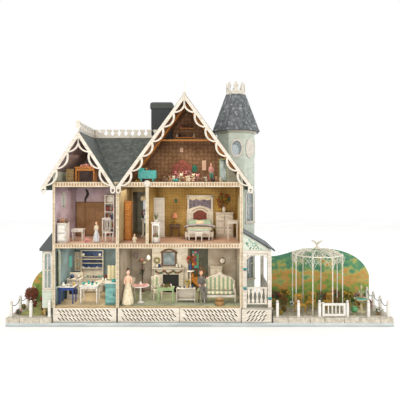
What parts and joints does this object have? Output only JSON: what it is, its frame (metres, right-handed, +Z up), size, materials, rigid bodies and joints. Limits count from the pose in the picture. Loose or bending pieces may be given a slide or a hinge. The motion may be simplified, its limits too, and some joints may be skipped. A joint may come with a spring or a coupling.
{
  "type": "wooden dollhouse",
  "caption": "Open-fronted wooden dollhouse with gabled roofs, tower, porch, bay, furnished rooms and fenced side gardens with a gate and a wire gazebo.",
  "frame": {"origin": "underside of the base at the middle of the whole model's box", "axes": "+Z up, the open room side faces -Y, the street side faces +Y, the long way runs along X"},
  "size_m": [1.54, 0.5, 1.05],
  "materials": {
    "board_paint": "eggshell paint",
    "stone": "sanded paint",
    "ground": "flocked",
    "cream_paint": "satin paint",
    "pine": "waxed",
    "slate": "dull paint",
    "tower_slate": "dull paint",
    "sage_paint": "satin paint",
    "wallpaper": "papered",
    "glass": "clear",
    "teal_paint": "satin paint",
    "white_paint": "gloss paint",
    "honey_wood": "varnished",
    "fabric": "woven",
    "rope": "twisted",
    "wire": "painted",
    "plants": "dyed",
    "painted_hills": "painted scene"
  },
  "bodies": {
    "house": {"base_boards": "board_paint", "kerb_stones": "stone", "garden_ground": "ground", "lattice_skirts": "cream_paint", "bearers": "pine", "ground_floor": "pine", "first_floor": "pine", "attic_floor": "pine", "left_wall": "sage_paint", "right_wall": "sage_paint", "back_wall": "sage_paint", "inner_walls": "wallpaper", "front_trim": "cream_paint", "small_gable_roof": "slate", "main_gable_roof": "slate", "cross_roof": "slate", "bargeboards": "cream_paint", "ridge_cresting": "cream_paint", "lightning_rod": "wire", "chimney_stack": "slate", "chimney_cap": "slate", "tower_bay": "sage_paint", "tower_walls": "sage_paint", "tower_cornice": "cream_paint", "tower_roof": "tower_slate", "tower_crown": "cream_paint", "kitchen_bay": "sage_paint", "kitchen_bay_roof": "tower_slate", "porch_deck": "pine", "porch_frame": "cream_paint", "porch_railings": "cream_paint", "porch_valance": "cream_paint", "porch_roof": "tower_slate", "porch_gable_panel": "sage_paint", "window_frames": "cream_paint", "window_panes": "glass", "staircase": "honey_wood", "fireplace": "cream_paint", "attic_beams": "honey_wood", "fence_posts": "white_paint", "fence_ropes": "rope", "gazebo_frame": "wire", "gazebo_ring": "wire", "garden_ornaments": "stone", "garden_plants": "plants", "garden_chairs": "honey_wood", "hill_boards": "painted_hills", "kitchen_furniture": "cream_paint", "nursery_furniture": "white_paint", "bed_frame": "white_paint", "mattress": "fabric", "bedroom_furniture": "cream_paint", "settee": "cream_paint", "settee_cushion": "fabric", "parlour_furniture": "cream_paint", "attic_furniture": "honey_wood"},
    "street_door": {"street_door": "teal_paint"},
    "porch_door": {"porch_door": "teal_paint"},
    "bedroom_door": {"bedroom_door": "white_paint"},
    "garden_gate": {"garden_gate": "white_paint"}
  },
  "joints": [
    {"name": "street_door_hinge", "type": "hinge", "parent": "house", "child": "street_door", "pos_m": [0.062, 0.2105, 0.17], "axis": [0, 0, 1], "range_deg": [0, 95]},
    {"name": "porch_door_hinge", "type": "hinge", "parent": "house", "child": "porch_door", "pos_m": [0.1685, -0.052, 0.17], "axis": [0, 0, 1], "range_deg": [0, 90]},
    {"name": "bedroom_door_hinge", "type": "hinge", "parent": "house", "child": "bedroom_door", "pos_m": [-0.2095, -0.02, 0.42], "axis": [0, 0, 1], "range_deg": [-90, 0]},
    {"name": "garden_gate_hinge", "type": "hinge", "parent": "house", "child": "garden_gate", "pos_m": [0.493, -0.24, 0.065], "axis": [0, 0, -1], "range_deg": [0, 100]}
  ]
}
